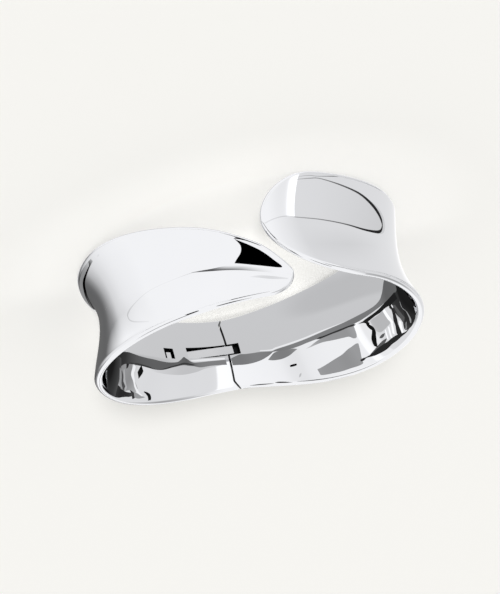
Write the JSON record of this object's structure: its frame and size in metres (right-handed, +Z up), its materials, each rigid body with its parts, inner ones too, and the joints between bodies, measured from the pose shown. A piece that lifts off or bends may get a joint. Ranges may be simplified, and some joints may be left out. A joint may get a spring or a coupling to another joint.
{
  "type": "wide hinged cuff bangle",
  "caption": "Wide polished silver cuff bangle of two flared arms on a spring hinge, whose pointed and rounded ends pass each other at the front.",
  "frame": {"origin": "middle of the bangle's box, on the surface it lies on", "axes": "+Z up through the wrist opening, -Y to the front where the two ends pass, +X on the pointed arm's side"},
  "size_m": [0.0686, 0.0551, 0.0261],
  "materials": {
    "polished_silver": "mirror polish",
    "spring_silver": "fine polish"
  },
  "bodies": {
    "pointed_half": {"pointed_arm": "polished_silver", "hinge_tongue": "spring_silver", "hinge_pin": "spring_silver", "spring_peg": "spring_silver"},
    "rounded_half": {"rounded_arm": "polished_silver"}
  },
  "joints": [
    {"name": "hinge_opening", "type": "hinge", "parent": "pointed_half", "child": "rounded_half", "pos_m": [-0.00007, 0.02679, 0.00957], "axis": [-0.0393, -0.0113, -0.9992], "range_deg": [0, 45], "stiffness_Nm_per_rad": 0.1, "springref_deg": -17.19}
  ]
}
